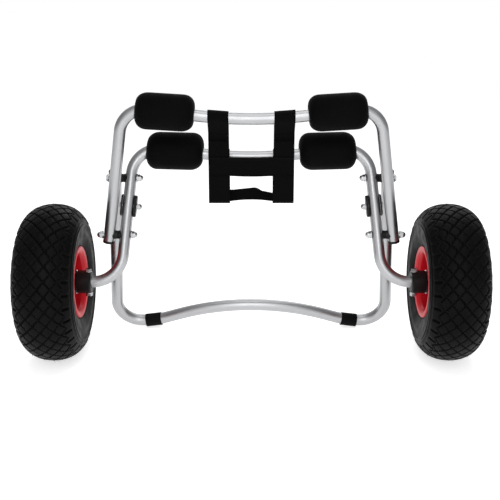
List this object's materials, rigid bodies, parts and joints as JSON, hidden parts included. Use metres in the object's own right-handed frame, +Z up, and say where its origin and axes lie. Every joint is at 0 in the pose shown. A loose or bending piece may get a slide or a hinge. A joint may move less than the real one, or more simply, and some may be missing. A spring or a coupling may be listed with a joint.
{
  "type": "kayak trolley",
  "caption": "Folding trolley for a small boat: two hinged U-frames with foam pads and webbing, a fold-out rear stand, and pneumatic wheels on stub axles.",
  "frame": {"origin": "on the ground, at the middle of the trolley's overall box", "axes": "+X across the trolley to its right wheel seen from the front, +Y from the cradle side towards the stand, +Z up"},
  "size_m": [0.747, 0.2908, 0.4462],
  "materials": {
    "tube": "satin anodised",
    "foam": "matt closed-cell foam",
    "black_plastic": "moulded",
    "zinc": "bright zinc plate",
    "rubber": "matt",
    "tyre": "moulded tread",
    "rim_paint": "gloss paint",
    "webbing": "woven"
  },
  "bodies": {
    "main": {"main_frame": "tube", "pad_main_l": "foam", "pad_main_r": "foam", "collar_l": "black_plastic", "collar_r": "black_plastic", "collar_bolts": "zinc", "collar_nuts": "zinc", "axle_l": "zinc", "axle_r": "zinc", "axle_washers": "zinc", "axle_caps": "black_plastic", "upper_bolts": "zinc", "lower_bolts": "zinc", "acorn_nuts": "zinc", "saddles_main": "black_plastic", "strap_l": "webbing", "strap_r": "webbing", "rung_upper": "webbing", "rung_lower": "webbing"},
    "cradle": {"cradle_frame": "tube", "pad_cradle_l": "foam", "pad_cradle_r": "foam", "end_caps_cradle": "black_plastic", "saddles_cradle": "black_plastic"},
    "stand": {"stand_frame": "tube", "end_caps_stand": "black_plastic", "foot_l": "rubber", "foot_r": "rubber", "saddles_stand": "black_plastic"},
    "latch_l": {"latch_inner_l": "black_plastic", "latch_outer_l": "black_plastic", "latch_bolt_l": "zinc", "latch_nuts_l": "zinc"},
    "latch_r": {"latch_inner_r": "black_plastic", "latch_outer_r": "black_plastic", "latch_bolt_r": "zinc", "latch_nuts_r": "zinc"},
    "wheel_l": {"wheel_tyre_l": "tyre", "inner_tube_l": "rubber", "valve_l": "rubber", "rim_inner_l": "rim_paint", "rim_outer_l": "rim_paint", "hub_l": "zinc", "bearings_l": "zinc", "rim_bolts_l": "zinc", "rim_nuts_l": "zinc"},
    "wheel_r": {"wheel_tyre_r": "tyre", "inner_tube_r": "rubber", "valve_r": "rubber", "rim_inner_r": "rim_paint", "rim_outer_r": "rim_paint", "hub_r": "zinc", "bearings_r": "zinc", "rim_bolts_r": "zinc", "rim_nuts_r": "zinc"}
  },
  "joints": [
    {"name": "cradle_tilt", "type": "hinge", "parent": "main", "child": "cradle", "pos_m": [0, -0.00047, 0.20706], "axis": [1, 0, 0], "range_deg": [-2, 68], "deforming": ["strap_l", "strap_r", "rung_upper", "rung_lower"]},
    {"name": "stand_fold", "type": "hinge", "parent": "main", "child": "stand", "pos_m": [0, 0.01743, 0.29913], "axis": [-1, 0, 0], "range_deg": [0, 16]},
    {"name": "latch_turn_l", "type": "hinge", "parent": "main", "child": "latch_l", "pos_m": [-0.20365, 0.00874, 0.25447], "axis": [-0.994, 0.0209, 0.1073], "range_deg": [-90, 90]},
    {"name": "latch_turn_r", "type": "hinge", "parent": "main", "child": "latch_r", "pos_m": [0.20365, 0.00874, 0.25447], "axis": [0.994, 0.0209, 0.1073], "range_deg": [-90, 90]},
    {"name": "wheel_spin_l", "type": "hinge", "parent": "main", "child": "wheel_l", "pos_m": [-0.3245, -0.01545, 0.13], "axis": [1, 0, 0], "continuous": true},
    {"name": "wheel_spin_r", "type": "hinge", "parent": "main", "child": "wheel_r", "pos_m": [0.3245, -0.01545, 0.13], "axis": [1, 0, 0], "continuous": true}
  ]
}
